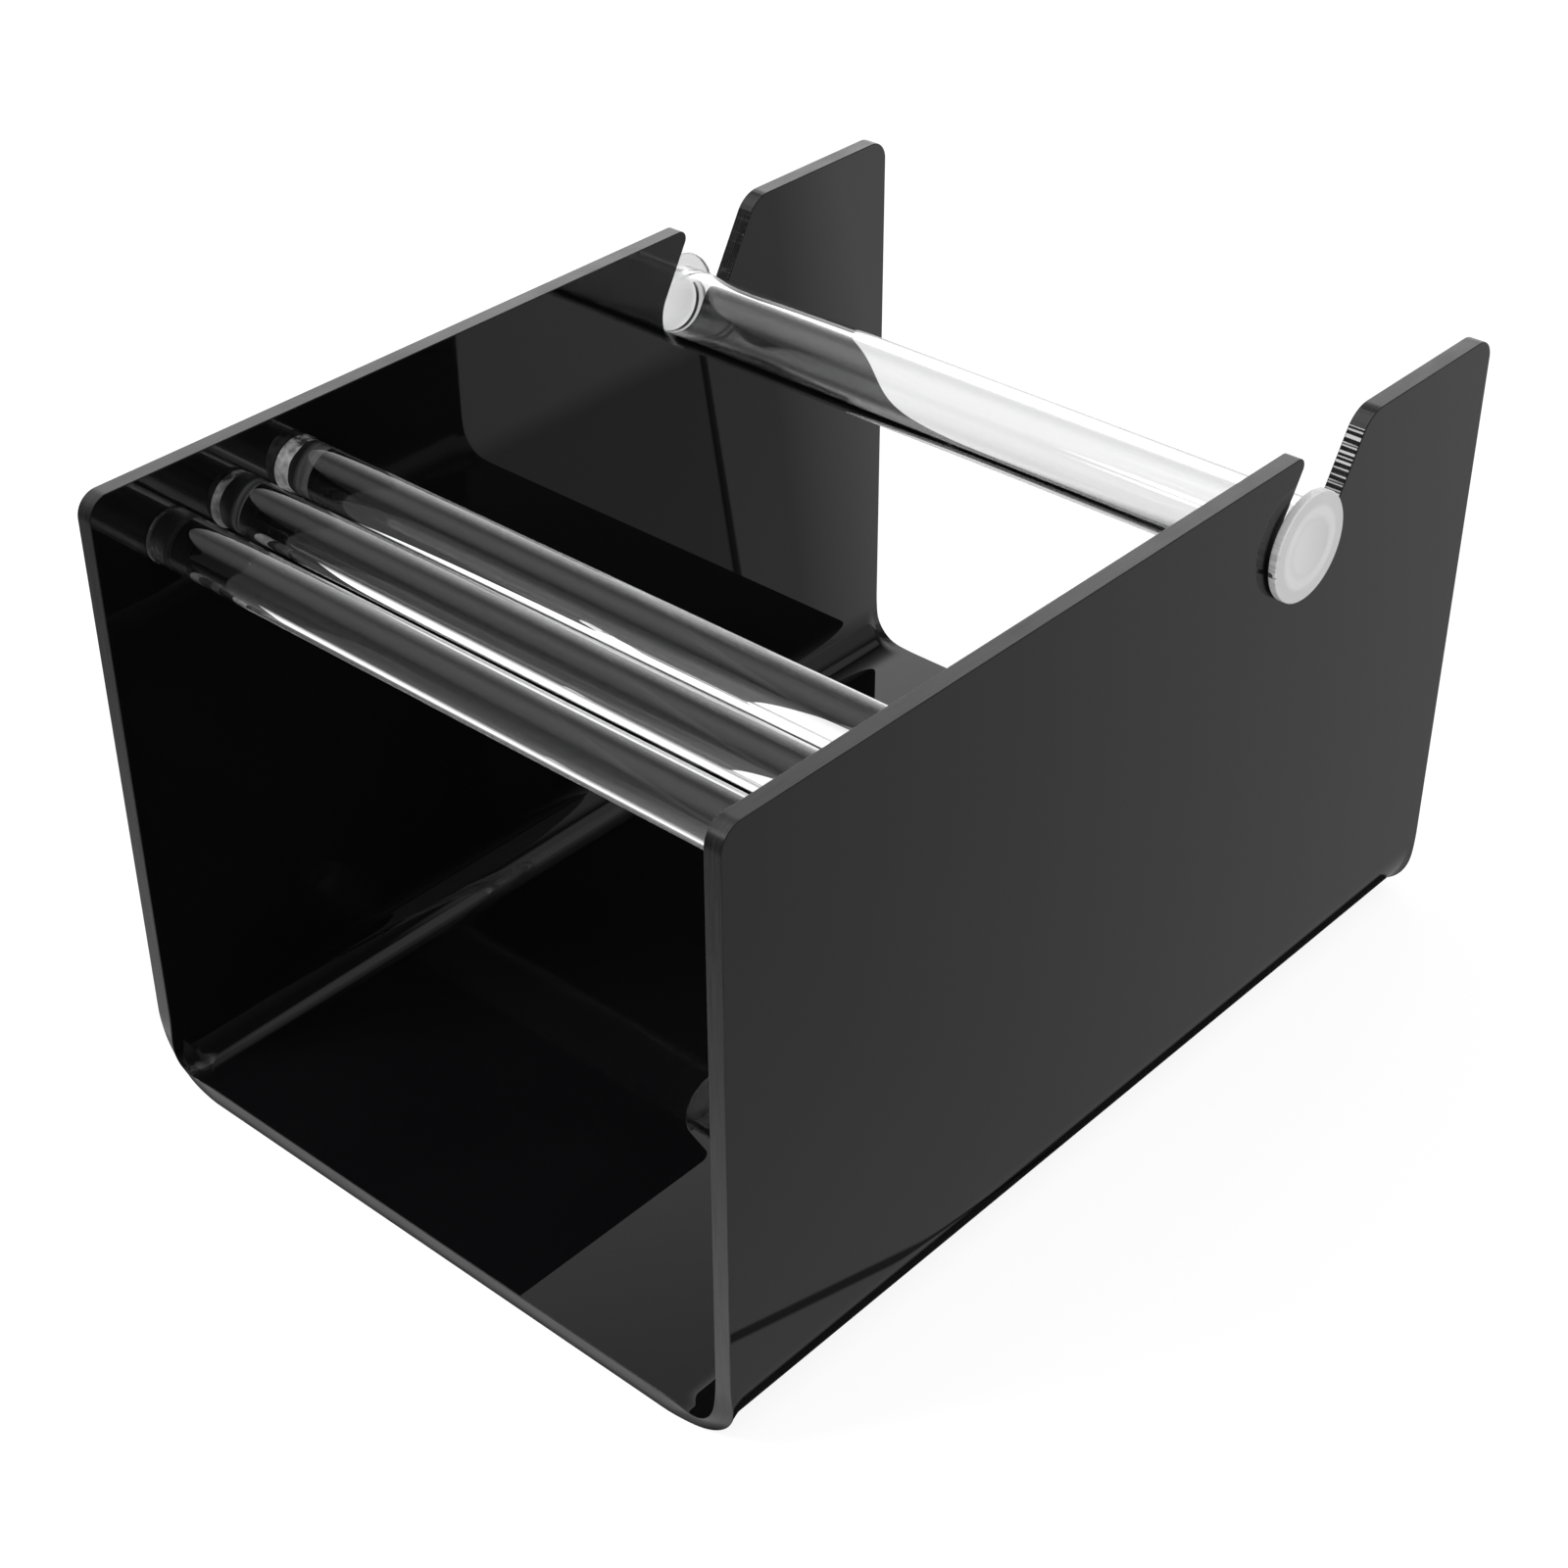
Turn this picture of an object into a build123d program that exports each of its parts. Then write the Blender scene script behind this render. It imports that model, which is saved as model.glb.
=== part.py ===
from build123d import *
from math import cos, radians, sin, tan
import os

# Ribbon dispenser: a tray bent from one acrylic sheet, three guide rods and a roller that lifts out.
# X runs to the right, Y to the back and Z up. The origin is under the middle of the tray's floor.
# The tray is bent up from one sheet: a floor and two side walls, open at the front, back and top.
tray_width = 170.0
tray_depth = 240.0
tray_height = 145.0
sheet = 4.0
bend_inner = 7.0
wall_corner = 5.0

# Bending squeezes the inside of the sheet out past the ends of the bend and draws the outside in,
# over the whole heated strip, which runs on this far past the bend on both sides.
bend_squeeze = 0.8
bend_draw = 1.3
heated = 4.0
bend_steps = 9
heated_steps = 4

# A slot in each wall holds the roller in its round bottom and leans back on its way up to its mouth.
# Its place is that of the middle of its round bottom.
slot_width = 19.4
slot_lean = 30.0
slot_from_back = 69.4
slot_below_top = 19.5
slot_front_lip = 2.0
slot_rear_lip = 7.5

# The guide rods are glued between the walls, across the front, each a little higher than the last.
guide_diameter = 12.0
guide_from_front = 18.4
guide_below_top = 15.1
guide_pitch = 16.9
guide_rise = 1.35
glue_film = 0.05

# The roller is a tube through both slots, closed by a disc glued over each end, outside the walls.
roller_diameter = 18.0
roller_wall = 2.0
roller_play = 0.05
disc_diameter = 24.0
disc_sheet = 2.0
disc_gap = 0.5

# Sizes that follow from the ones above.
bend_outer = bend_inner + sheet
bend_x = tray_width / 2 - bend_outer
bend_length = radians(90) * (bend_inner + sheet / 2)
strip_length = bend_length + 2 * heated
inside = tray_width / 2 - sheet
slot_y = tray_depth / 2 - slot_from_back
slot_z = tray_height - slot_below_top
guide_y = guide_from_front - tray_depth / 2
guide_z = tray_height - guide_below_top
guide_length = 2 * (inside - glue_film)
roller_z = slot_z - (slot_width - roller_diameter) / 2 + roller_play
disc_inner_x = tray_width / 2 + disc_gap
roller_length = 2 * (disc_inner_x - glue_film)

os.makedirs("parts", exist_ok=True)


def strip_outline(place):
    """Corners of the heated strip's section, as distance from the bend's centre and Y, place mm along it."""
    swell = sin(radians(180) * place / strip_length) ** 2
    inner_y = tray_depth / 2 + bend_squeeze * swell
    outer_y = tray_depth / 2 - bend_draw * swell
    return [(bend_inner, -inner_y), (bend_outer, -outer_y), (bend_outer, outer_y), (bend_inner, inner_y)]


def strip_plane(place):
    """Plane of the strip's section place mm along it: first on the floor, then round and up the wall."""
    past_floor = min(place - heated, 0)
    up_wall = max(place - heated - bend_length, 0)
    turn = radians(90) * min(max(place - heated, 0) / bend_length, 1)
    return Plane(
        origin=(bend_x + past_floor, 0, bend_outer + up_wall),
        x_dir=(sin(turn), 0, -cos(turn)),
        z_dir=(cos(turn), 0, sin(turn)),
    )


def slot_point(side, z):
    """Where the slot's front edge (side -1) or rear edge (side 1) is at height z."""
    return (slot_y + (z - slot_z) * tan(radians(slot_lean)) + side * slot_width / 2 / cos(radians(slot_lean)), z)


def slot_tangent(side):
    """Where the slot's straight edge meets its round bottom."""
    return slot_point(side, slot_z - side * slot_width / 2 * sin(radians(slot_lean)))


# The right side's heated strip: its end on the floor, the bend, and its end on the wall.
with BuildPart() as strip:
    for start, length, steps in (
        (0, heated, heated_steps),
        (heated, bend_length, bend_steps),
        (heated + bend_length, heated, heated_steps),
    ):
        for step in range(steps + 1):
            place = start + length * step / steps
            with BuildSketch(strip_plane(place)):
                Polygon(*strip_outline(place), align=None)
        loft()

with BuildPart() as tray:
    with BuildSketch(Plane.YZ.offset(inside)) as wall:
        with Locations((0, tray_height)):
            Rectangle(tray_depth, tray_height - bend_outer - heated, align=(Align.CENTER, Align.MAX))
        above = tray_height + slot_width
        Polygon(
            slot_tangent(-1),
            slot_point(-1, above),
            slot_point(1, above),
            slot_tangent(1),
            align=None,
            mode=Mode.SUBTRACT,
        )
        with Locations((slot_y, slot_z)):
            Circle(slot_width / 2, mode=Mode.SUBTRACT)
        for corner, radius in enumerate((wall_corner, slot_front_lip, slot_rear_lip, wall_corner)):
            top = wall.vertices().group_by(Axis.Y)[-1].sort_by(Axis.X)
            fillet(top[corner], radius)
    extrude(amount=sheet)
    add(strip.part)
    mirror(about=Plane.YZ)
    with Locations((0, 0, sheet / 2)):
        Box(2 * (bend_x - heated), tray_depth, sheet)
tray.part.label = "tray"
export_step(tray.part, "parts/tray.step")

with BuildPart() as front_guide_rod:
    with Locations((0, guide_y, guide_z)):
        Cylinder(guide_diameter / 2, guide_length, rotation=(0, 90, 0))
front_guide_rod.part.label = "front_guide_rod"
export_step(front_guide_rod.part, "parts/front_guide_rod.step")

with BuildPart() as middle_guide_rod:
    with Locations((0, guide_y + guide_pitch, guide_z + guide_rise)):
        Cylinder(guide_diameter / 2, guide_length, rotation=(0, 90, 0))
middle_guide_rod.part.label = "middle_guide_rod"
export_step(middle_guide_rod.part, "parts/middle_guide_rod.step")

with BuildPart() as rear_guide_rod:
    with Locations((0, guide_y + 2 * guide_pitch, guide_z + 2 * guide_rise)):
        Cylinder(guide_diameter / 2, guide_length, rotation=(0, 90, 0))
rear_guide_rod.part.label = "rear_guide_rod"
export_step(rear_guide_rod.part, "parts/rear_guide_rod.step")

with BuildPart() as roller_tube:
    with Locations((0, slot_y, roller_z)):
        Cylinder(roller_diameter / 2, roller_length, rotation=(0, 90, 0))
        Cylinder(roller_diameter / 2 - roller_wall, roller_length, rotation=(0, 90, 0), mode=Mode.SUBTRACT)
roller_tube.part.label = "roller_tube"
export_step(roller_tube.part, "parts/roller_tube.step")

with BuildPart() as right_roller_disc:
    with Locations((disc_inner_x + disc_sheet / 2, slot_y, roller_z)):
        Cylinder(disc_diameter / 2, disc_sheet, rotation=(0, 90, 0))
right_roller_disc.part.label = "right_roller_disc"
export_step(right_roller_disc.part, "parts/right_roller_disc.step")

with BuildPart() as left_roller_disc:
    with Locations((-disc_inner_x - disc_sheet / 2, slot_y, roller_z)):
        Cylinder(disc_diameter / 2, disc_sheet, rotation=(0, 90, 0))
left_roller_disc.part.label = "left_roller_disc"
export_step(left_roller_disc.part, "parts/left_roller_disc.step")
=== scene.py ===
from math import atan2, cos, pi, radians, sin, tan

import bmesh
import bpy
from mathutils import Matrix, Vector


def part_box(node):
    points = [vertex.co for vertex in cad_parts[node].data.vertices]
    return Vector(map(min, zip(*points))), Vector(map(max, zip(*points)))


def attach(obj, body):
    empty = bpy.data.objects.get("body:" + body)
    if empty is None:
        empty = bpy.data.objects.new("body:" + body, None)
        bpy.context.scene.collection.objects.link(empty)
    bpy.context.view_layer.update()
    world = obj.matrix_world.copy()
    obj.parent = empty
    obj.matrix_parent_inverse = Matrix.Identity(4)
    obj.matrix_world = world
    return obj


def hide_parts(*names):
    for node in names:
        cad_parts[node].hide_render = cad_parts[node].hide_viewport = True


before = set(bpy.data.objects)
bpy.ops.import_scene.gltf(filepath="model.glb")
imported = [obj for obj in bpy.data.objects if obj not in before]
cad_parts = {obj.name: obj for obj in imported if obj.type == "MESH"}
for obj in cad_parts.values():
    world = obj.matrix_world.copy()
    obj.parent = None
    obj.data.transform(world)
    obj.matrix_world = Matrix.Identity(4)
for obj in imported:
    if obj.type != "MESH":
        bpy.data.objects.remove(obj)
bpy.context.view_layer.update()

# Lengths are in metres, in the part's frame: X to the right, Y to the back, Z up.
MM = 0.001

# The tray's sheet, bends and slots, as on the real part. A bend has an inner radius, and a length over
# which it starts to curve. It is tighter at the tray's two ends, where it flares out over the last few
# millimetres. The sheet's end faces squeeze out inside the bends and draw in outside them.
SHEET = 4.0 * MM
BEND_AT_ENDS = (7.0 * MM, 5.0 * MM)
BEND_BETWEEN = (10.2 * MM, 2.5 * MM)
BEND_REACH = 18.0 * MM
FLARE = 4.5 * MM
FLARE_STEPS = (1.5 * MM, 2.2 * MM, 3.0 * MM, 3.8 * MM, 4.6 * MM)
BEND_SQUEEZE = 0.8 * MM
BEND_DRAW = 1.3 * MM
WALL_CORNER = 5.0 * MM
SLOT_WIDTH = 19.4 * MM
SLOT_LEAN = radians(30)
SLOT_FROM_BACK = 69.4 * MM
SLOT_BELOW_TOP = 19.5 * MM
SLOT_FRONT_LIP = 2.0 * MM
SLOT_REAR_LIP = 7.5 * MM
EDGE_BEVEL = 0.22 * MM

# The roller tube's wall, and the eased corners of the guide rods and of the discs.
TUBE_WALL = 2.0 * MM
ROD_EASE = 0.12 * MM
DISC_EASE = 0.25 * MM

# The guide rods from the front, each with how milky its glued left end is, and how far its fillets of
# cement stand off it at the wall and reach along it. The cement thins out to a film, and most of it
# pooled at one angle round the rod, counted from the back over the top. It is glassy at the front rod
# and turns milky between these two distances behind the tray's front.
GUIDE_RODS = (
    ("front_guide_rod", 0.25, 0.3 * MM, 0.9 * MM),
    ("middle_guide_rod", 0.6, 0.6 * MM, 2.2 * MM),
    ("rear_guide_rod", 1.0, 0.7 * MM, 3.8 * MM),
)
CEMENT_FILM = 0.03 * MM
CEMENT_POOL = radians(190)
CEMENT_MILKY = (24 * MM, 40 * MM)

# How finely the shapes are divided: round things, the slots' bottoms, rounded corners, the bent strips
# and the fillets of cement, in shares of their reach. Edges sharper than these angles are kept sharp
# and are bevelled, and points closer together than WELD are joined.
ROUND_STEPS = 128
SLOT_STEPS = 40
CORNER_STEPS = 14
STRIP_ROWS = 44
CEMENT_STEPS = (0, 0.05, 0.1, 0.16, 0.23, 0.32, 0.45, 0.65, 1)
SHARP_ANGLE = radians(35)
BEVEL_ANGLE = radians(40)
WELD = 0.002 * MM

# The tray's materials, by their numbers in its mesh.
FACE, CUT_EDGE, SLOT_EDGE = 0, 1, 2

# The acrylic and the cement. DUST_FREE is the share of places with no speck of dust. The black sheet
# blistered in the heat, close to the tray's ends, low down and in the bends: it fades out between two
# heights, and fades in between two distances from the tray's sides. A scratch is this deep where it
# makes the surface fully rough, and shallower in proportion.
ACRYLIC_IOR = 1.49
CEMENT_IOR = 1.48
BLACK = ((0.0025, 0.0025, 0.003, 1), (0.0045, 0.0045, 0.005, 1))
DUST_GREY = 0.07
DUST_FREE = 0.82
SWELL_DEPTH = 0.02 * MM
BLISTER_DEPTH = 0.22 * MM
BLISTER_REACH = 4 * MM
BLISTER_TOP = (11 * MM, 15 * MM)
BLISTER_SIDE = (11 * MM, 7 * MM)
SCRATCH_DEPTH = 0.00625 * MM

# The laser's start mark on a disc's rim: how far below the front it is, and half its width, in radians.
LASER_START = radians(8)
LASER_HALF_WIDTH = 0.05

# The studio as light, and as the gloss shows it: a dim room with a window, which is dimmer higher up,
# a few soft glows, and a horizon that only the clear plastic shows. A light is its turn from X and
# its rise in degrees, the cosines between which it fades in, and its strength. A fade is two ranges:
# what runs over the first is carried to the second.
ROOM_LIGHT = 0.8
DIM_ROOM = 0.12
WINDOW = (145, 20, (0.52, 0.97), 2.1)
WINDOW_TOP = ((0.42, 0.72), (1.0, 0.28))
SOFT_GLOWS = (
    (80, 58, (0.976, 0.99), 0.6),
    (62, 45, (0.978, 0.99), 0.5),
    (46, 8, (0.86, 0.96), 0.42),
    (220, 67, (0.75, 0.97), 1.5),
    (239.6, 36, (0.9925, 0.998), 15.0),
)
HORIZON = ((0.05, 0.3), (1.0, 0.3))
KEY_LAMP_PLACE = (-0.62, -0.97, 1.1)
KEY_LAMP_SIZE = 0.4
KEY_LAMP_POWER = 11.0

# The paper under the object: its grey in plain light, and what the camera sees of it, which is a light
# of its own and a small share that shows shadows.
FLOOR_REACH = 6.0
FLOOR_GAP = 0.1 * MM
PAPER_GREY = 0.8
PAPER_LIFT = 0.88
SHADOW_SHARE = 0.2

# The paper as the gloss shows it, with its light before and beyond the left dark line. It is brighter
# far to the back left, by Y less X, and to the right past a line in X, where it grows along Y. In front,
# from this close ahead of the tray, it is brightest at one X, and halves over these lengths sideways and
# forwards. A painted shadow darkens it under the object; its light fades in from the tray's sides and
# from its ends.
PAPER_SHINE = (0.25, 0.38)
BACK_LEFT_SHINE = ((0.175, 0.222), (0.0, 0.55))
FAR_LEFT_SHINE = ((0.25, 0.4), (0.0, 0.14))
RIGHT_PAPER = (0.06, 0.09)
RIGHT_SHINE = ((0.0, 0.37), (0.37, 0.53))
FRONT_SHINE = 1.15
FRONT_SHINE_X = 0.055
FRONT_HALVES = (0.42, 0.09)
FRONT_LINE = (1.5 * MM, 0.5 * MM)
PAINTED_SHADOW_SIDES = ((4 * MM, 6.5 * MM), (0.05, 1.0))
PAINTED_SHADOW_ENDS = ((-1.0 * MM, 0.0), (0.0, 1.0))

# Two thin dark lines in the paper, where slope x + y is constant, between two Y: (slope, constant,
# (from, to)).
LEFT_DARK_LINE = (-0.9355, 0.149, (0.122, 0.26))
RIGHT_DARK_LINE = (3.984, 0.3237, (-0.12, -0.01))
DARK_LINE_WIDTH = 1.5 * MM
DARK_LINE_DEPTH = 0.8

# The camera that took the photograph: its place, its turns in degrees, its lens and sensor in
# millimetres, and its shift in shares of the sensor.
CAMERA_PLACE = (0.34367, -0.39581, 0.41412)
CAMERA_TURNS = (54.4201, 0.8731, 42.5964)
CAMERA_LENS = 66.294
CAMERA_SENSOR = 36.0
CAMERA_SHIFT = (0.0419, 0.0356)

# The tray's size, from the frame. Its bends carry rows of points along Y, close together at the flares.
tray_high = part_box("tray")[1]
HALF_WIDTH = tray_high.x
HALF_DEPTH = tray_high.y - BEND_SQUEEZE
HEIGHT = tray_high.z
STRIP_X = HALF_WIDTH - BEND_REACH
ROWS_ALONG = [step - HALF_DEPTH for step in FLARE_STEPS]
ROWS_ALONG += [HALF_DEPTH - step for step in reversed(FLARE_STEPS)]


class Nodes:
    """A node tree, with short ways to add to it, which give the outputs of what they add."""

    def __init__(self, tree):
        self.tree = tree
        tree.nodes.clear()

    def add(self, kind, inputs=None, **settings):
        """A new node itself; inputs maps a socket's name or number to a value or to an output."""
        node = self.tree.nodes.new(kind)
        for name, value in settings.items():
            setattr(node, name, value)
        for socket, value in (inputs or {}).items():
            if isinstance(value, bpy.types.NodeSocket):
                self.tree.links.new(value, node.inputs[socket])
            else:
                node.inputs[socket].default_value = value
        return node

    def math(self, operation, *values):
        """The result of one operation on numbers or outputs."""
        return self.add("ShaderNodeMath", dict(enumerate(values)), operation=operation).outputs[0]

    def product(self, first, *others):
        """All the values multiplied together."""
        for other in others:
            first = self.math("MULTIPLY", first, other)
        return first

    def map_range(self, value, source, target=(0.0, 1.0)):
        """value carried from the source range to the target range, and held at its ends."""
        ranges = {"From Min": source[0], "From Max": source[1], "To Min": target[0], "To Max": target[1]}
        return self.add("ShaderNodeMapRange", {"Value": value, **ranges}).outputs["Result"]

    def dot(self, a, b):
        """The cosine between two directions."""
        return self.add("ShaderNodeVectorMath", {0: a, 1: b}, operation="DOT_PRODUCT").outputs["Value"]

    def place(self):
        """Where a point of the surface is on the part, as a vector and as its X, Y and Z."""
        place = self.add("ShaderNodeTexCoord").outputs["Object"]
        return place, self.add("ShaderNodeSeparateXYZ", {"Vector": place}).outputs

    def around(self, axes, centre):
        """How far a point is from an axis along X, and at what angle round it, from centre as (y, z)."""
        across = self.math("SUBTRACT", axes["Y"], centre[0])
        up = self.math("SUBTRACT", axes["Z"], centre[1])
        squares = self.math("MULTIPLY_ADD", across, across, self.math("MULTIPLY", up, up))
        return self.math("SQRT", squares), self.math("ARCTAN2", up, across)

    def stretched(self, place, scale):
        """The place with each axis scaled by itself, for patterns that run one way."""
        return self.add("ShaderNodeMapping", {"Vector": place, "Scale": scale}).outputs["Vector"]

    def noise(self, place, scale, detail, distortion=0.0):
        """A cloudy pattern about 0.5, with about scale clouds to a metre."""
        inputs = {"Vector": place, "Scale": scale, "Detail": detail, "Distortion": distortion}
        return self.add("ShaderNodeTexNoise", inputs).outputs["Fac"]

    def cells(self, place, scale):
        """Cells, about scale of them to a metre: the distance from a cell's middle, and its colour."""
        cells = self.add("ShaderNodeTexVoronoi", {"Vector": place, "Scale": scale}).outputs
        return cells["Distance"], cells["Color"]

    def blend(self, factor, low, high):
        """A colour between two colours; a grey is one number."""
        low, high = [(c, c, c, 1) if isinstance(c, float) else c for c in (low, high)]
        return self.add("ShaderNodeMix", {0: factor, 6: low, 7: high}, data_type="RGBA").outputs[2]

    def bump(self, height, depth, before=None):
        """A normal from a height between 0 and 1, which stands for depth metres."""
        inputs = {"Height": height, "Distance": depth, "Strength": 1.0}
        if before is not None:
            inputs["Normal"] = before
        return self.add("ShaderNodeBump", inputs).outputs["Normal"]

    def shining(self, kind, strength):
        """A white light of this kind."""
        return self.add(kind, {"Color": (1, 1, 1, 1), "Strength": strength}).outputs[0]

    def by_ray(self, plain, mirrored, seen):
        """What gives plain light, what the gloss and clear plastic show, and what the camera sees."""
        rays = self.add("ShaderNodeLightPath").outputs
        gloss = self.math("MAXIMUM", rays["Is Glossy Ray"], rays["Is Transmission Ray"])
        shader = self.add("ShaderNodeMixShader", {0: gloss, 1: plain, 2: mirrored}).outputs[0]
        camera = rays["Is Camera Ray"]
        return self.add("ShaderNodeMixShader", {0: camera, 1: shader, 2: seen}).outputs[0]

    def surface(self, **inputs):
        """The surface shader, with its sockets named with underscores for spaces."""
        inputs = {name.replace("_", " "): value for name, value in inputs.items()}
        shader = self.add("ShaderNodeBsdfPrincipled", inputs)
        self.add("ShaderNodeOutputMaterial", {"Surface": shader.outputs["BSDF"]})


def new_material(name):
    """A material with an empty node tree."""
    material = bpy.data.materials.new(name)
    material.use_nodes = True
    return material, Nodes(material.node_tree)


def black_acrylic():
    """Cast black acrylic's polished faces, with smears, a little dust, and blisters from the heat."""
    material, nodes = new_material("black_acrylic")
    place, axes = nodes.place()
    smears = nodes.noise(place, scale=22.0, detail=5.0, distortion=0.8)
    from_speck, colour = nodes.cells(place, scale=170.0)
    chance = nodes.add("ShaderNodeSeparateXYZ", {"Vector": colour}).outputs["X"]
    dusty = nodes.math("GREATER_THAN", chance, DUST_FREE)
    speck = nodes.product(dusty, nodes.map_range(from_speck, (0.015, 0.035), (1.0, 0.0)))
    from_middle = nodes.math("ABSOLUTE", axes["Y"])
    near_end = nodes.map_range(from_middle, (HALF_DEPTH - BLISTER_REACH, HALF_DEPTH))
    low_down = nodes.map_range(axes["Z"], BLISTER_TOP, (1.0, 0.0))
    side = [HALF_WIDTH - inward for inward in BLISTER_SIDE]
    in_bend = nodes.map_range(nodes.math("ABSOLUTE", axes["X"]), side)
    grain = nodes.noise(place, scale=420.0, detail=2.0)
    blisters = nodes.product(near_end, low_down, in_bend, grain)
    swells = nodes.bump(nodes.noise(place, scale=16.0, detail=1.0), SWELL_DEPTH)
    nodes.surface(
        Base_Color=nodes.blend(speck, nodes.blend(smears, *BLACK), DUST_GREY),
        IOR=ACRYLIC_IOR,
        Roughness=nodes.map_range(smears, (0.5, 0.85), (0.0, 0.05)),
        Normal=nodes.bump(blisters, BLISTER_DEPTH, swells),
    )
    return material


def cut_edge(name, line_depth, ripple_depth, satin):
    """The sheet's cut edges, with fine lines along them and ripples across them, as rough as satin."""
    material, nodes = new_material(name)
    along = nodes.add("ShaderNodeUVMap", uv_map="along_edge").outputs["UV"]
    lines = nodes.noise(nodes.stretched(along, (60.0, 3200.0, 1.0)), scale=1.0, detail=3.0)
    patches = nodes.noise(nodes.stretched(along, (90.0, 150.0, 1.0)), scale=1.0, detail=2.0)
    ripples = nodes.noise(nodes.stretched(along, (1150.0, 30.0, 1.0)), scale=1.0, detail=0.0)
    nodes.surface(
        Base_Color=nodes.blend(nodes.map_range(lines, (0.35, 0.7)), 0.006, 0.022),
        IOR=ACRYLIC_IOR,
        Roughness=nodes.map_range(patches, (0.3, 0.7), satin),
        Normal=nodes.bump(ripples, ripple_depth, nodes.bump(lines, line_depth)),
    )
    return material


def clear_acrylic(name, tint, rubbing):
    """Extruded clear acrylic, with a few fine scratches rubbed round it, as rough as rubbing."""
    material, nodes = new_material(name)
    place, _ = nodes.place()
    rings = nodes.noise(nodes.stretched(place, (1600.0, 70.0, 70.0)), scale=1.0, detail=2.0)
    where = nodes.noise(place, scale=85.0, detail=2.0)
    rubbed = nodes.product(nodes.map_range(rings, (0.68, 0.74)), nodes.map_range(where, (0.52, 0.6)))
    nodes.surface(
        Base_Color=(tint, tint + 0.001, tint + 0.001, 1),
        IOR=ACRYLIC_IOR,
        Roughness=nodes.product(rubbed, rubbing),
        Transmission_Weight=1.0,
        Normal=nodes.bump(rubbed, rubbing * SCRATCH_DEPTH),
    )
    return material


def glued_end(name, centre, radius, milk):
    """A rod's end, wet with cement on the black wall; the left one has bubbles and a milky ring."""
    material, nodes = new_material(name)
    place, axes = nodes.place()
    distance, _ = nodes.around(axes, centre)
    wander = nodes.noise(place, scale=260.0, detail=2.0)
    reach = nodes.math("MULTIPLY_ADD", wander, 2.6 * MM, distance)
    ring = nodes.map_range(reach, (radius + 0.5 * MM - 1.2 * milk * MM, radius + 1.2 * MM))
    cells, _ = nodes.cells(place, scale=900.0)
    from_bubble = nodes.math("ABSOLUTE", nodes.math("SUBTRACT", cells, 0.42))
    bubble = nodes.map_range(from_bubble, (0.03, 0.09), (0.5, 0.0))
    outer = nodes.map_range(distance, (radius - 1.6 * MM, radius - 0.6 * MM))
    mark = nodes.math("MAXIMUM", nodes.product(ring, milk), nodes.product(bubble, outer))
    on_left = nodes.math("LESS_THAN", axes["X"], 0.0)
    nodes.surface(
        Base_Color=nodes.blend(nodes.product(mark, on_left), 0.006, 0.3),
        Roughness=0.35,
        Normal=nodes.bump(cells, 0.05 * MM),
    )
    return material


def cement():
    """Set solvent cement: glassy and bubbly at the front rod, and milkier at the rods behind it."""
    material, nodes = new_material("set_cement")
    place, axes = nodes.place()
    cells, _ = nodes.cells(place, scale=1100.0)
    cloud = nodes.noise(place, scale=480.0, detail=4.0)
    outward = nodes.add("ShaderNodeNewGeometry").outputs["Normal"]
    pooled = nodes.dot(outward, (0.0, cos(CEMENT_POOL), sin(CEMENT_POOL)))
    thick = nodes.math("ADD", cloud, nodes.map_range(pooled, (-0.1, 0.85), (-0.06, 0.42)))
    milk = nodes.product(
        nodes.map_range(thick, (0.46, 0.98), (0.01, 0.9)),
        nodes.map_range(axes["Y"], [behind - HALF_DEPTH for behind in CEMENT_MILKY], (0.05, 1.0)),
    )
    nodes.surface(
        Base_Color=nodes.blend(milk, 0.02, 0.85),
        IOR=CEMENT_IOR,
        Roughness=nodes.map_range(cloud, (0.35, 0.65), (0.1, 0.4)),
        Normal=nodes.bump(cells, 0.1 * MM),
    )
    return material


def disc_face(nodes, across, distance, cloud, tube_radius, bore):
    """A disc's face: pale, whiter where the tube is glued behind it, with painted light and shade across
    its bore.
    """
    wobble = nodes.math("MULTIPLY_ADD", cloud, 0.8 * MM, distance)
    glue = nodes.product(
        nodes.map_range(wobble, (bore - 0.6 * MM, bore + 0.9 * MM)),
        nodes.map_range(wobble, (tube_radius - 0.3 * MM, tube_radius + 0.8 * MM), (1.0, 0.0)),
    )
    hollow = nodes.map_range(wobble, (bore - 1.2 * MM, bore + 0.4 * MM), (1.0, 0.0))
    # Over the bore, painted light and shade: lighter at the front, darker towards the back.
    shade = nodes.map_range(across, (-0.8 * bore, 0.9 * bore))
    pale = nodes.blend(cloud, (0.74, 0.74, 0.745, 1), 0.83)
    return nodes.blend(hollow, nodes.blend(glue, pale, 1.0), nodes.blend(shade, 0.95, 0.78))


def rim_stripes(nodes, along, angle):
    """How strong the laser's stripes across a disc's rim are: strongest at the rim's front."""
    arc = nodes.add("ShaderNodeCombineXYZ", {"X": angle, "Y": along}).outputs["Vector"]
    stripes = nodes.noise(nodes.stretched(arc, (17.0, 30.0, 1.0)), scale=1.0, detail=1.0)
    from_front = nodes.math("SUBTRACT", pi, nodes.math("ABSOLUTE", angle))
    return nodes.product(
        nodes.map_range(stripes, (0.52, 0.6)), nodes.map_range(from_front, (0.15, 0.6), (1.0, 0.15))
    )


def laser_start(nodes, place, angle):
    """Where the laser's charred start mark is on a disc's rim, a little below its front."""
    from_mark = nodes.math("ABSOLUTE", nodes.math("ADD", angle, pi - LASER_START))
    near = nodes.math("LESS_THAN", from_mark, LASER_HALF_WIDTH)
    charred = nodes.math("GREATER_THAN", nodes.noise(place, scale=700.0, detail=1.0), 0.42)
    return nodes.product(near, charred)


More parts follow.
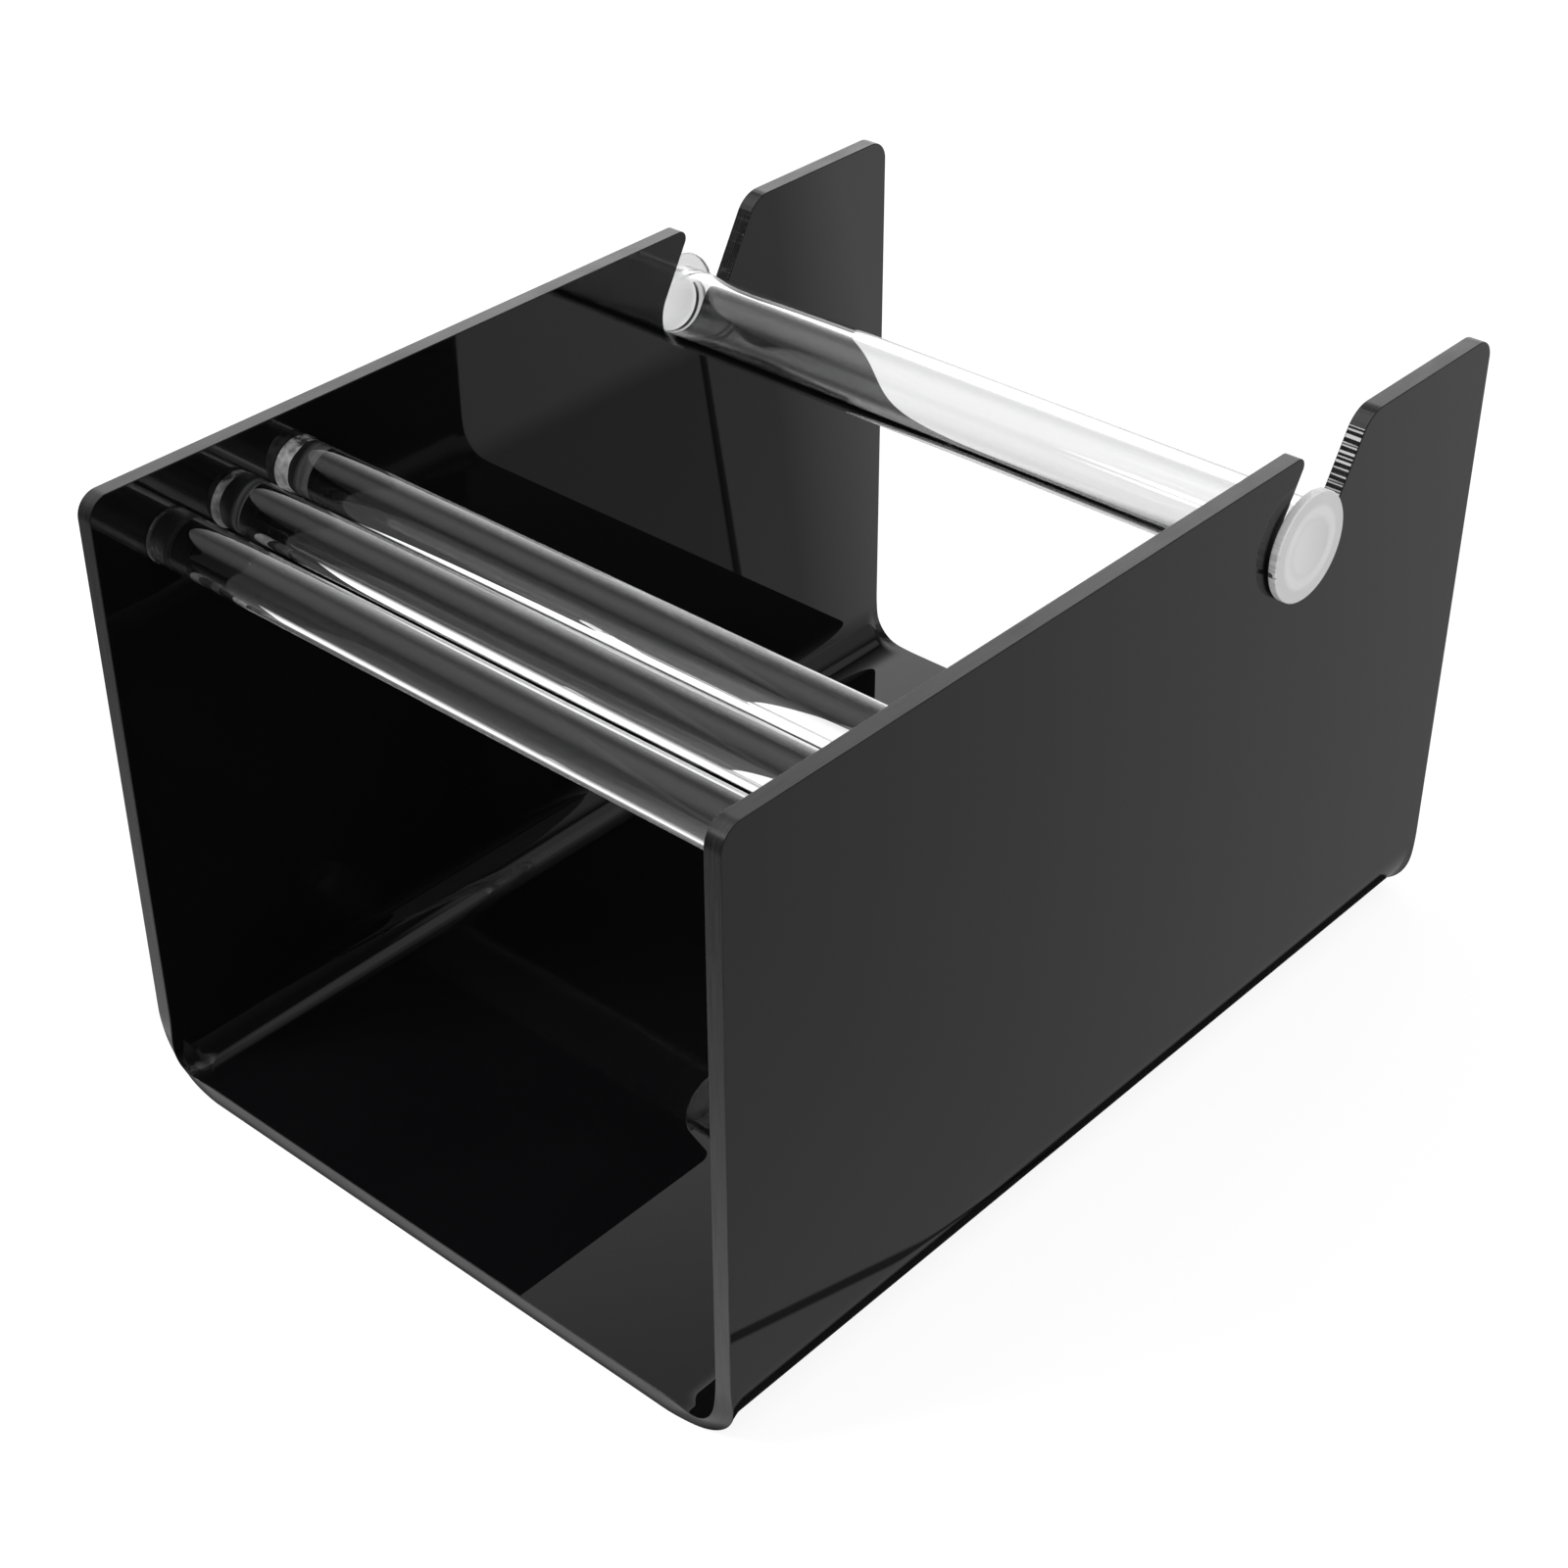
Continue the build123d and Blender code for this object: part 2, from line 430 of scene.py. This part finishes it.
def milky_disc(name, centre, radius, tube_radius, clearness):
    """A laser-cut translucent disc, with the tube's glued end showing through, painted shade across its
    bore, and a striped rim painted white as a highlight.
    """
    material, nodes = new_material(name)
    place, axes = nodes.place()
    distance, angle = nodes.around(axes, centre)
    cloud = nodes.noise(place, scale=130.0, detail=3.0)
    across = nodes.math("SUBTRACT", axes["Y"], centre[0])
    face = disc_face(nodes, across, distance, cloud, tube_radius, tube_radius - TUBE_WALL)
    stripes = rim_stripes(nodes, axes["X"], angle)
    # The rim is painted pure white, whiter than the face, as a painted highlight for the light it
    # catches; its darker stripes are the laser's lines.
    rim = nodes.blend(nodes.product(stripes, 0.45), 1.0, 0.4)
    rim = nodes.blend(laser_start(nodes, place, angle), rim, 0.1)
    on_rim = nodes.map_range(distance, (radius - 0.3 * MM, radius - 0.1 * MM))
    nodes.surface(
        Base_Color=nodes.blend(on_rim, face, rim),
        IOR=ACRYLIC_IOR,
        Transmission_Weight=nodes.map_range(on_rim, (0.0, 1.0), (clearness, 0.05)),
        Subsurface_Weight=1.0,
        Subsurface_Radius=(1.0, 1.0, 1.0),
        Subsurface_Scale=0.5 * MM,
        Roughness=nodes.map_range(on_rim, (0.0, 1.0), (0.22, 0.4)),
        Normal=nodes.bump(nodes.product(stripes, on_rim), 0.06 * MM),
    )
    return material


def new_piece(name, shape, body, slot, *materials):
    """A piece from a bmesh, with its materials, riding on a body."""
    mesh = bpy.data.meshes.new(name)
    shape.to_mesh(mesh)
    shape.free()
    mesh.polygons.foreach_set("use_smooth", [True] * len(mesh.polygons))
    mesh.set_sharp_from_angle(angle=SHARP_ANGLE)
    for material in materials:
        mesh.materials.append(material)
    piece = bpy.data.objects.new(name, mesh)
    bpy.context.scene.collection.objects.link(piece)
    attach(piece, body)
    return piece


def arc_points(centre, radius, start, end, steps):
    """Points on an arc in the YZ plane, from angle start to angle end."""
    turns = [start + (end - start) * i / steps for i in range(steps + 1)]
    return [(centre[0] + radius * cos(turn), centre[1] + radius * sin(turn)) for turn in turns]


def rounded_corner(before, corner, after, radius):
    """The arc that rounds a corner between two straight edges."""
    corner = Vector(corner)
    towards = (Vector(before) - corner).normalized()
    away = (Vector(after) - corner).normalized()
    half = towards.angle(away) / 2
    centre = corner + (towards + away).normalized() * radius / sin(half)
    first = corner + towards * radius / tan(half)
    last = corner + away * radius / tan(half)
    start = atan2(first.y - centre.y, first.x - centre.x)
    end = atan2(last.y - centre.y, last.x - centre.x)
    if end - start > pi:
        end -= 2 * pi
    if start - end > pi:
        end += 2 * pi
    return arc_points(centre, radius, start, end, CORNER_STEPS)


def wall_outline():
    """A wall's outline in the YZ plane, from front foot to rear foot, as (point, in the slot)."""
    slot_y = HALF_DEPTH - SLOT_FROM_BACK
    slot_z = HEIGHT - SLOT_BELOW_TOP
    half_mouth = SLOT_WIDTH / 2 / cos(SLOT_LEAN)
    mouth_y = slot_y + SLOT_BELOW_TOP * tan(SLOT_LEAN)
    front_foot, front_top = (-HALF_DEPTH, BEND_REACH), (-HALF_DEPTH, HEIGHT)
    front_mouth, rear_mouth = (mouth_y - half_mouth, HEIGHT), (mouth_y + half_mouth, HEIGHT)
    rear_top, rear_foot = (HALF_DEPTH, HEIGHT), (HALF_DEPTH, BEND_REACH)
    turns = (pi - SLOT_LEAN, 2 * pi - SLOT_LEAN)
    bottom = arc_points((slot_y, slot_z), SLOT_WIDTH / 2, *turns, SLOT_STEPS)
    stretches = [
        ([front_foot], False),
        (rounded_corner(front_foot, front_top, front_mouth, WALL_CORNER), False),
        (rounded_corner(front_top, front_mouth, bottom[0], SLOT_FRONT_LIP), True),
        (bottom, True),
        (rounded_corner(bottom[-1], rear_mouth, rear_top, SLOT_REAR_LIP), True),
        (rounded_corner(rear_mouth, rear_top, rear_foot, WALL_CORNER), False),
        ([rear_foot], False),
    ]
    return [(point, in_slot) for points, in_slot in stretches for point in points]


def bend_line(inner, ease):
    """The right bend's middle line as (x, z, turn) rows, with this inner radius, starting over ease."""
    straight = BEND_REACH - SHEET - inner
    length = 2 * straight + pi / 2 * (inner + SHEET / 2)

    def turned(place):
        eased = min(max((place - straight + ease / 2) / ease, 0), 1)
        return eased * eased * ease / 2 + max(place - straight - ease / 2, 0)

    half = turned(length / 2)
    span = [length * i / STRIP_ROWS for i in range(STRIP_ROWS + 1)]
    arcs = [turned(p) if p < length / 2 else 2 * half - turned(length - p) for p in span]
    turns = [pi / 4 / half * arc for arc in arcs]
    x, z = [0.0], [0.0]
    for a, b in zip(turns, turns[1:]):
        x.append(x[-1] + cos((a + b) / 2))
        z.append(z[-1] + sin((a + b) / 2))
    size = (BEND_REACH - SHEET / 2) / x[-1]
    return [(STRIP_X + size * px, SHEET / 2 + size * pz, turn) for px, pz, turn in zip(x, z, turns)]


def strip_section(share, at_ends, between):
    """The bent strip's section, share of the way up it, as points (x, y, z) round it from its front."""
    swell = sin(pi * share) ** 2

    def point(offset, y):
        depth = min(max((HALF_DEPTH - abs(y)) / FLARE, 0), 1)
        wide = depth * depth * (3 - 2 * depth)
        x, z, turn = [a + (b - a) * wide for a, b in zip(at_ends, between)]
        return (x + offset * sin(turn), y, z - offset * cos(turn))

    inner_y, outer_y = HALF_DEPTH + BEND_SQUEEZE * swell, HALF_DEPTH - BEND_DRAW * swell
    x, z, turn = at_ends
    front = [(x - SHEET / 2 * sin(turn), -inner_y, z + SHEET / 2 * cos(turn)),
             (x + SHEET / 2 * sin(turn), -outer_y, z - SHEET / 2 * cos(turn))]
    rear = [(px, -y, pz) for px, y, pz in reversed(front)]
    outside = [point(SHEET / 2, y) for y in ROWS_ALONG]
    inside = [point(-SHEET / 2, y) for y in reversed(ROWS_ALONG)]
    return front + outside + rear + inside


class Tray:
    """The whole tray as one closed mesh, of faces in three materials with a UV map along the edges."""

    def __init__(self):
        self.mesh = bmesh.new()
        self.uv = self.mesh.loops.layers.uv.new("along_edge")
        for side in (-1, 1):
            self.add_wall(side)
            self.add_bend(side)
        self.add_base()
        bmesh.ops.remove_doubles(self.mesh, verts=self.mesh.verts, dist=WELD)
        bmesh.ops.recalc_face_normals(self.mesh, faces=self.mesh.faces)

    def add(self, points, material, along=()):
        """One face, with its corners' places on the edge: along it and across the sheet."""
        face = self.mesh.faces.new([self.mesh.verts.new(point) for point in points])
        face.material_index = material
        for loop, place in zip(face.loops, along):
            loop[self.uv].uv = place

    def add_wall(self, side):
        """A wall's two faces and its cut edges, on the left for -1 or the right for 1."""
        outline = wall_outline()
        inner_x, outer_x = side * (HALF_WIDTH - SHEET), side * HALF_WIDTH
        foot = [(y, BEND_REACH) for y in reversed(ROWS_ALONG)]
        for x in (inner_x, outer_x):
            self.add([(x, y, z) for y, z in [point for point, _ in outline] + foot], FACE)
        run = 0.0
        for (a, a_slot), (b, b_slot) in zip(outline, outline[1:]):
            ahead = run + (Vector(b) - Vector(a)).length
            corners = [(inner_x, *a), (inner_x, *b), (outer_x, *b), (outer_x, *a)]
            material = SLOT_EDGE if a_slot and b_slot else CUT_EDGE
            self.add(corners, material, ((run, 0), (ahead, 0), (ahead, SHEET), (run, SHEET)))
            run = ahead

    def add_bend(self, side):
        """A bent strip from the base up to the wall's foot, with its swollen end faces."""
        lines = zip(bend_line(*BEND_AT_ENDS), bend_line(*BEND_BETWEEN))
        rows = [
            [(side * x, y, z) for x, y, z in strip_section(i / STRIP_ROWS, at_ends, between)]
            for i, (at_ends, between) in enumerate(lines)
        ]
        length = 1.5 * BEND_REACH
        end_faces = (0, len(ROWS_ALONG) + 2)
        for k, (low, high) in enumerate(zip(rows, rows[1:])):
            start, ahead = (length * j / STRIP_ROWS for j in (k, k + 1))
            places = ((start, 0), (start, SHEET), (ahead, SHEET), (ahead, 0))
            for i in range(len(low)):
                j = (i + 1) % len(low)
                material = CUT_EDGE if i in end_faces else FACE
                self.add((low[i], low[j], high[j], high[i]), material, places)

    def add_base(self):
        """The flat floor between the bent strips: its two faces and its front and rear edges."""
        across = (-HALF_DEPTH, *ROWS_ALONG, HALF_DEPTH)
        for z in (0, SHEET):
            left = [(-STRIP_X, y, z) for y in across]
            self.add(left + [(STRIP_X, y, z) for y in reversed(across)], FACE)
        places = ((-STRIP_X, SHEET), (-STRIP_X, 0), (STRIP_X, 0), (STRIP_X, SHEET))
        for y in (-HALF_DEPTH, HALF_DEPTH):
            corners = [(x, y, z) for x, z in places]
            self.add(corners, CUT_EDGE, [(x, SHEET - z) for x, z in places])


def lathe_mesh(profile, centre, closed=False):
    """A mesh turned about an axis along X, from a profile of (x, radius) and the axis's (y, z)."""
    mesh = bmesh.new()
    add_lathe(mesh, profile, centre, closed)
    bmesh.ops.recalc_face_normals(mesh, faces=mesh.faces)
    return mesh


def add_lathe(mesh, profile, centre, closed):
    """A turned form added to a mesh, as its rings of points; flat ends get the second material."""
    turns = [2 * pi * i / ROUND_STEPS for i in range(ROUND_STEPS)]
    rings = [
        [mesh.verts.new((x, centre[0] + radius * cos(t), centre[1] + radius * sin(t))) for t in turns]
        for x, radius in profile
    ]
    pairs = list(zip(rings, rings[1:])) + ([(rings[-1], rings[0])] if closed else [])
    for a, b in pairs:
        for i in range(ROUND_STEPS):
            j = (i + 1) % ROUND_STEPS
            mesh.faces.new((a[i], a[j], b[j], b[i]))
    if not closed:
        for ring in (rings[0], rings[-1]):
            mesh.faces.new(ring).material_index = 1
    return rings


def round_part(node):
    """A round node that lies along X: its left and right ends, its radius and its axis's (y, z)."""
    low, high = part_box(node)
    return low.x, high.x, (high.z - low.z) / 2, ((low.y + high.y) / 2, (low.z + high.z) / 2)


def eased_mesh(left, right, radius, centre, ease):
    """A solid rod or disc along X, with its corners eased."""
    narrow = radius - ease
    profile = [(left, narrow), (left + ease, radius), (right - ease, radius), (right, narrow)]
    return lathe_mesh(profile, centre)


def build_tray(materials):
    """The bent tray, with its sharp edges bevelled."""
    tray = new_piece("bent_tray", Tray().mesh, "tray", "black_acrylic", *materials)
    bevel = tray.modifiers.new("edge", "BEVEL")
    bevel.width = EDGE_BEVEL
    bevel.segments = 2
    bevel.limit_method = "ANGLE"
    bevel.angle_limit = BEVEL_ANGLE
    bevel.harden_normals = True
    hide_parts("tray")


def build_rod(node, material, milk):
    """A guide rod with its two ends wet with cement."""
    left, right, radius, centre = round_part(node)
    end = glued_end(node + "_end", centre, radius, milk)
    mesh = eased_mesh(left, right, radius, centre, ROD_EASE)
    piece = new_piece("clear_" + node, mesh, "tray", "clear_rod", material, end)
    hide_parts(node)


def add_fillet(mesh, radius, centre, side, rise, reach):
    """A fillet of cement round a rod's end, rippled in slow and quick waves, thickest at the pool."""
    wall = HALF_WIDTH - SHEET
    curve = [
        (side * (wall - reach * share), radius + CEMENT_FILM + rise * (1 - share) ** 4)
        for share in CEMENT_STEPS
    ]
    for ring in add_lathe(mesh, curve + [(side * wall, radius)], centre, True):
        for i, vert in enumerate(ring):
            turn = 2 * pi * i / ROUND_STEPS
            slow = sin(3 * turn + centre[0] / MM)
            quick = sin(7 * turn + side + centre[1] / MM)
            ripple = 0.1 * slow + 0.07 * quick
            long = 0.93 + 0.4 * ripple
            thick = 0.25 + 0.5 * ripple + 0.7 * max(0.0, cos(turn - CEMENT_POOL)) ** 2
            vert.co.x = side * (wall - (wall - side * vert.co.x) * long)
            out = Vector((0, vert.co.y - centre[0], vert.co.z - centre[1]))
            vert.co -= out.normalized() * (out.length - radius) * (1 - thick)


def build_cement(material):
    """The fillets of cement that run round the guide rods' ends, against the walls."""
    mesh = bmesh.new()
    for node, _, rise, reach in GUIDE_RODS:
        _, _, radius, centre = round_part(node)
        for side in (-1, 1):
            add_fillet(mesh, radius, centre, side, rise, reach)
    bmesh.ops.recalc_face_normals(mesh, faces=mesh.faces)
    new_piece("cement_fillets", mesh, "tray", "clear_rod", material)


def build_tube(material):
    """The roller's clear tube, open at both ends."""
    left, right, radius, centre = round_part("roller_tube")
    bore = radius - TUBE_WALL
    profile = [(left, bore), (left, radius), (right, radius), (right, bore)]
    mesh = lathe_mesh(profile, centre, closed=True)
    piece = new_piece("clear_roller_tube", mesh, "roller", "clear_tube", material)
    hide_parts("roller_tube")


def build_disc(node, body, name, clearness):
    """An end disc of the roller, with its corners just broken."""
    left, right, radius, centre = round_part(node)
    _, _, tube_radius, _ = round_part("roller_tube")
    material = milky_disc(name + "_plastic", centre, radius, tube_radius, clearness)
    mesh = eased_mesh(left, right, radius, centre, DISC_EASE)
    piece = new_piece(name, mesh, body, "clear_disc", material, material)
    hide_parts(node)


def glow(nodes, direction, turn, rise, spread, strength, around=0.0):
    """A soft light in the gloss, seen in this direction, which fades into the light around it."""
    turn, rise = radians(turn), radians(rise)
    centre = (cos(turn) * cos(rise), sin(turn) * cos(rise), sin(rise))
    return nodes.map_range(nodes.dot(direction, centre), spread, (around, strength))


def surroundings():
    """White to look at and plain as light; mirrored, a dim room with its window and soft glows."""
    world = bpy.data.worlds.new("studio")
    bpy.context.scene.world = world
    world.use_nodes = True
    nodes = Nodes(world.node_tree)
    direction = nodes.add("ShaderNodeTexCoord").outputs["Generated"]
    height = nodes.add("ShaderNodeSeparateXYZ", {"Vector": direction}).outputs["Z"]
    window = glow(nodes, direction, *WINDOW, around=DIM_ROOM)
    room = nodes.product(window, nodes.map_range(height, *WINDOW_TOP))
    for light in SOFT_GLOWS:
        room = nodes.math("MAXIMUM", room, glow(nodes, direction, *light))
    through = nodes.add("ShaderNodeLightPath").outputs["Is Transmission Ray"]
    horizon = nodes.product(through, nodes.map_range(height, *HORIZON))
    room = nodes.math("MAXIMUM", room, horizon)
    shader = nodes.by_ray(
        plain=nodes.shining("ShaderNodeBackground", ROOM_LIGHT),
        mirrored=nodes.shining("ShaderNodeBackground", room),
        seen=nodes.shining("ShaderNodeBackground", 1.0),
    )
    nodes.add("ShaderNodeOutputWorld", {"Surface": shader})


def dark_line(nodes, axes, slope, start, reach):
    """The share of light that a thin straight dark line in the paper leaves."""
    line = nodes.math("MULTIPLY_ADD", axes["X"], slope, axes["Y"])
    off = nodes.math("ABSOLUTE", nodes.math("SUBTRACT", line, start))
    width = DARK_LINE_WIDTH * (1 + slope * slope) ** 0.5
    dark = nodes.map_range(off, (width * 0.5, width), (DARK_LINE_DEPTH, 0.0))
    after = nodes.math("GREATER_THAN", axes["Y"], reach[0])
    before = nodes.math("LESS_THAN", axes["Y"], reach[1])
    return nodes.math("SUBTRACT", 1.0, nodes.product(dark, after, before))


def mirrored_paper(nodes, axes):
    """How bright the paper is in the gloss: behind, beside, before, and darkened by a painted shadow
    under the object.
    """
    diagonal = nodes.math("SUBTRACT", axes["Y"], axes["X"])
    slope, start, _ = LEFT_DARK_LINE
    past_left_line = nodes.math("MULTIPLY_ADD", axes["X"], slope, axes["Y"])
    beyond = nodes.map_range(past_left_line, (start - 0.5 * MM, start + 0.5 * MM), PAPER_SHINE)
    behind = nodes.math("ADD", beyond, nodes.map_range(diagonal, *BACK_LEFT_SHINE))
    on_right = nodes.map_range(axes["X"], RIGHT_PAPER)
    beside = nodes.product(on_right, nodes.map_range(axes["Y"], *RIGHT_SHINE))
    aside = nodes.math("ABSOLUTE", nodes.math("SUBTRACT", axes["X"], FRONT_SHINE_X))
    ahead = nodes.math("SUBTRACT", -HALF_DEPTH, axes["Y"])
    halvings = nodes.math(
        "ADD", nodes.math("DIVIDE", aside, FRONT_HALVES[0]), nodes.math("DIVIDE", ahead, FRONT_HALVES[1])
    )
    in_front = nodes.product(nodes.math("POWER", 0.5, halvings), FRONT_SHINE)
    level = nodes.math("MAXIMUM", behind, beside)
    front_line = [-HALF_DEPTH - off for off in FRONT_LINE]
    light = nodes.map_range(axes["Y"], front_line, (in_front, level))
    for lie in (LEFT_DARK_LINE, RIGHT_DARK_LINE):
        light = nodes.product(light, dark_line(nodes, axes, *lie))
    # Painted shadow under the object: dark under the tray and up to 4 mm past its sides, fading out by
    # 6.5 mm past them, and over the last millimetre before its ends.
    past_side = nodes.math("SUBTRACT", nodes.math("ABSOLUTE", axes["X"]), HALF_WIDTH)
    past_end = nodes.math("SUBTRACT", nodes.math("ABSOLUTE", axes["Y"]), HALF_DEPTH)
    outside_painted_shadow = nodes.math(
        "MAXIMUM", nodes.map_range(past_side, *PAINTED_SHADOW_SIDES), nodes.map_range(past_end, *PAINTED_SHADOW_ENDS)
    )
    through = nodes.add("ShaderNodeLightPath").outputs["Is Transmission Ray"]
    far_left = nodes.product(nodes.map_range(diagonal, *FAR_LEFT_SHINE), through)
    return nodes.math("ADD", nodes.product(light, outside_painted_shadow), far_left)


def paper():
    """White paper: white to look at, with a faint shadow, plain as light, and dimmer in the gloss."""
    material, nodes = new_material("paper")
    _, axes = nodes.place()
    plain, faint = [
        nodes.add("ShaderNodeBsdfDiffuse", {"Color": (grey, grey, grey, 1)}).outputs[0]
        for grey in (PAPER_GREY, SHADOW_SHARE)
    ]
    lift = nodes.shining("ShaderNodeEmission", PAPER_LIFT)
    shader = nodes.by_ray(
        plain=plain,
        mirrored=nodes.shining("ShaderNodeEmission", mirrored_paper(nodes, axes)),
        seen=nodes.add("ShaderNodeAddShader", {0: faint, 1: lift}).outputs[0],
    )
    nodes.add("ShaderNodeOutputMaterial", {"Surface": shader})
    return material


def floor():
    """The sheet of paper that the object stands on, just under its foot."""
    mesh = bpy.data.meshes.new("floor")
    signs = ((-1, -1), (1, -1), (1, 1), (-1, 1))
    corners = [(x * FLOOR_REACH, y * FLOOR_REACH, -FLOOR_GAP) for x, y in signs]
    mesh.from_pydata(corners, [], [(0, 1, 2, 3)])
    mesh.materials.append(paper())
    sheet = bpy.data.objects.new("floor", mesh)
    bpy.context.scene.collection.objects.link(sheet)


def key_lamp():
    """A square soft lamp that faces the object, and that its gloss doesn't show."""
    lamp = bpy.data.lights.new("key", "AREA")
    lamp.shape = "SQUARE"
    lamp.size = KEY_LAMP_SIZE
    lamp.energy = KEY_LAMP_POWER
    light = bpy.data.objects.new("key", lamp)
    light.location = KEY_LAMP_PLACE
    light.visible_glossy = False
    light.visible_transmission = False
    aim = Vector((0, 0, HEIGHT / 2)) - Vector(KEY_LAMP_PLACE)
    light.rotation_euler = aim.to_track_quat("-Z", "Y").to_euler()
    bpy.context.scene.collection.objects.link(light)


def photo_camera():
    """The camera where the photograph was taken from."""
    camera = bpy.data.cameras.new("camera")
    camera.sensor_width = CAMERA_SENSOR
    camera.lens = CAMERA_LENS
    camera.shift_x, camera.shift_y = CAMERA_SHIFT
    item = bpy.data.objects.new("camera", camera)
    item.location = CAMERA_PLACE
    item.rotation_euler = [radians(turn) for turn in CAMERA_TURNS]
    bpy.context.scene.collection.objects.link(item)
    bpy.context.scene.camera = item


bpy.context.scene.view_settings.view_transform = "Standard"
clear = clear_acrylic("clear_rod_acrylic", tint=0.97, rubbing=0.16)
build_tray((
    black_acrylic(),
    cut_edge("cut_edge", line_depth=0.006 * MM, ripple_depth=0.0015 * MM, satin=(0.2, 0.34)),
    cut_edge("slot_edge", line_depth=0.001 * MM, ripple_depth=0.1 * MM, satin=(0.06, 0.12)),
))
for node, milk, _, _ in GUIDE_RODS:
    build_rod(node, clear, milk)
build_cement(cement())
build_tube(clear_acrylic("clear_tube_acrylic", tint=0.93, rubbing=0.02))
build_disc("right_roller_disc", "roller", "right_disc", clearness=0.06)
build_disc("left_roller_disc", "roller_end", "left_disc", clearness=0.95)
surroundings()
floor()
key_lamp()
photo_camera()
